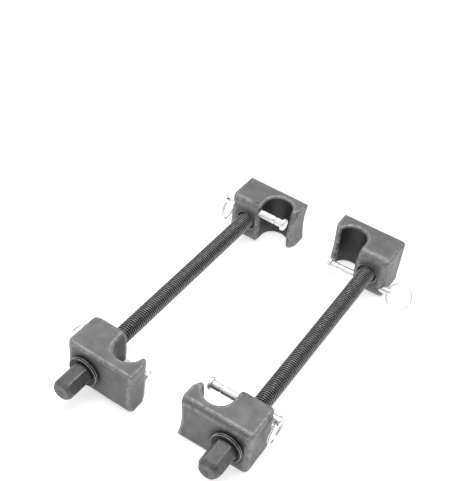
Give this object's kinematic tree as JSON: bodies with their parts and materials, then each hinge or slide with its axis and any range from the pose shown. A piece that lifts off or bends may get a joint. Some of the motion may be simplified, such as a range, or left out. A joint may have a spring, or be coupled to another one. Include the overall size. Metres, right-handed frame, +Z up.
{
  "type": "coil spring compressor",
  "caption": "Matched pair of screw-driven hook jaws with locking pins and pull rings, for squeezing a suspension coil spring shorter",
  "frame": {"origin": "On the resting surface, below the middle of the bounding box of the pair.", "axes": "+Z up from the resting surface, +Y along the right screw from its drive hex to its travelling jaw, +X to the right as seen from the hex ends."},
  "size_m": [0.2329, 0.3229, 0.047],
  "materials": {
    "forged_jaw": "satin grey coating over drop-forged steel, fine mottling, edges worn slightly brighter",
    "black_oxide_screw": "black oxide with a light oil film, thread crests worn brighter",
    "black_thrust_washer": "black oxide, turned, with bright worn outer edges",
    "zinc_plated_steel": "bright zinc plating, fairly glossy",
    "bare_spring_steel": "ground bare steel"
  },
  "bodies": {
    "right_screw": {"right_forcing_screw": "black_oxide_screw", "right_outer_thrust_washer": "black_thrust_washer"},
    "right_drive": {"right_drive_jaw": "forged_jaw", "right_inner_thrust_washer": "black_thrust_washer", "right_drive_detent_ball": "bare_spring_steel", "right_drive_detent_spring": "bare_spring_steel", "right_drive_detent_plug": "forged_jaw"},
    "right_travel": {"right_travel_jaw": "forged_jaw", "right_travel_detent_ball": "bare_spring_steel", "right_travel_detent_spring": "bare_spring_steel", "right_travel_detent_plug": "forged_jaw"},
    "right_drive_pin": {"right_drive_safety_pin": "zinc_plated_steel"},
    "right_drive_ring": {"right_drive_pull_ring": "zinc_plated_steel"},
    "right_travel_pin": {"right_travel_safety_pin": "zinc_plated_steel"},
    "right_travel_ring": {"right_travel_pull_ring": "zinc_plated_steel"},
    "left_screw": {"left_forcing_screw": "black_oxide_screw", "left_outer_thrust_washer": "black_thrust_washer"},
    "left_drive": {"left_drive_jaw": "forged_jaw", "left_inner_thrust_washer": "black_thrust_washer", "left_drive_detent_ball": "bare_spring_steel", "left_drive_detent_spring": "bare_spring_steel", "left_drive_detent_plug": "forged_jaw"},
    "left_travel": {"left_travel_jaw": "forged_jaw", "left_travel_detent_ball": "bare_spring_steel", "left_travel_detent_spring": "bare_spring_steel", "left_travel_detent_plug": "forged_jaw"},
    "left_drive_pin": {"left_drive_safety_pin": "zinc_plated_steel"},
    "left_drive_ring": {"left_drive_pull_ring": "zinc_plated_steel"},
    "left_travel_pin": {"left_travel_safety_pin": "zinc_plated_steel"},
    "left_travel_ring": {"left_travel_pull_ring": "zinc_plated_steel"}
  },
  "joints": [
    {"name": "right_screw_turn", "type": "hinge", "parent": "right_drive", "child": "right_screw", "pos_m": [0.068, -0.1543, 0.0235], "axis": [0, 1, 0], "range_deg": [0, 28800]},
    {"name": "right_jaw_feed", "type": "slide", "parent": "right_drive", "child": "right_travel", "axis": [0, -1, 0], "range_m": [0, 0.18472]},
    {"name": "right_drive_pin_pull", "type": "slide", "parent": "right_drive", "child": "right_drive_pin", "axis": [1, 0, 0], "range_m": [0, 0.023]},
    {"name": "right_drive_ring_swing", "type": "hinge", "parent": "right_drive_pin", "child": "right_drive_ring", "pos_m": [0.0914, -0.0891, 0.0369], "axis": [0, -1, 0], "range_deg": [-4, 150]},
    {"name": "right_travel_pin_pull", "type": "slide", "parent": "right_travel", "child": "right_travel_pin", "axis": [1, 0, 0], "range_m": [0, 0.023]},
    {"name": "right_travel_ring_swing", "type": "hinge", "parent": "right_travel_pin", "child": "right_travel_ring", "pos_m": [0.0914, 0.1264, 0.0101], "axis": [0, -0.6626, -0.749], "range_deg": [0, 90]},
    {"name": "left_screw_turn", "type": "hinge", "parent": "left_drive", "child": "left_screw", "pos_m": [-0.07, -0.1613, 0.0235], "axis": [0.0209, 0.9998, 0], "range_deg": [0, 28800]},
    {"name": "left_jaw_feed", "type": "slide", "parent": "left_drive", "child": "left_travel", "axis": [-0.0209, -0.9998, 0], "range_m": [0, 0.18472]},
    {"name": "left_drive_pin_pull", "type": "slide", "parent": "left_drive", "child": "left_drive_pin", "axis": [-0.9998, 0.0209, 0], "range_m": [0, 0.023]},
    {"name": "left_drive_ring_swing", "type": "hinge", "parent": "left_drive_pin", "child": "left_drive_ring", "pos_m": [-0.09203, -0.09562, 0.0101], "axis": [0.0191, 0.9133, 0.4067], "range_deg": [0, 90]},
    {"name": "left_travel_pin_pull", "type": "slide", "parent": "left_travel", "child": "left_travel_pin", "axis": [-0.9998, 0.0209, 0], "range_m": [0, 0.023]},
    {"name": "left_travel_ring_swing", "type": "hinge", "parent": "left_travel_pin", "child": "left_travel_ring", "pos_m": [-0.08752, 0.11983, 0.0369], "axis": [0.0209, 0.9998, 0], "range_deg": [-4, 150]},
    {"name": "left_unit_lift", "type": "slide", "parent": "right_drive", "child": "left_drive", "axis": [0, 0, 1], "range_m": [0, 0.12]}
  ],
  "couplings": [
    {"joint": "right_screw_turn", "follows": "right_jaw_feed", "rad_per_m": 2721.1},
    {"joint": "left_screw_turn", "follows": "left_jaw_feed", "rad_per_m": 2721.1}
  ]
}
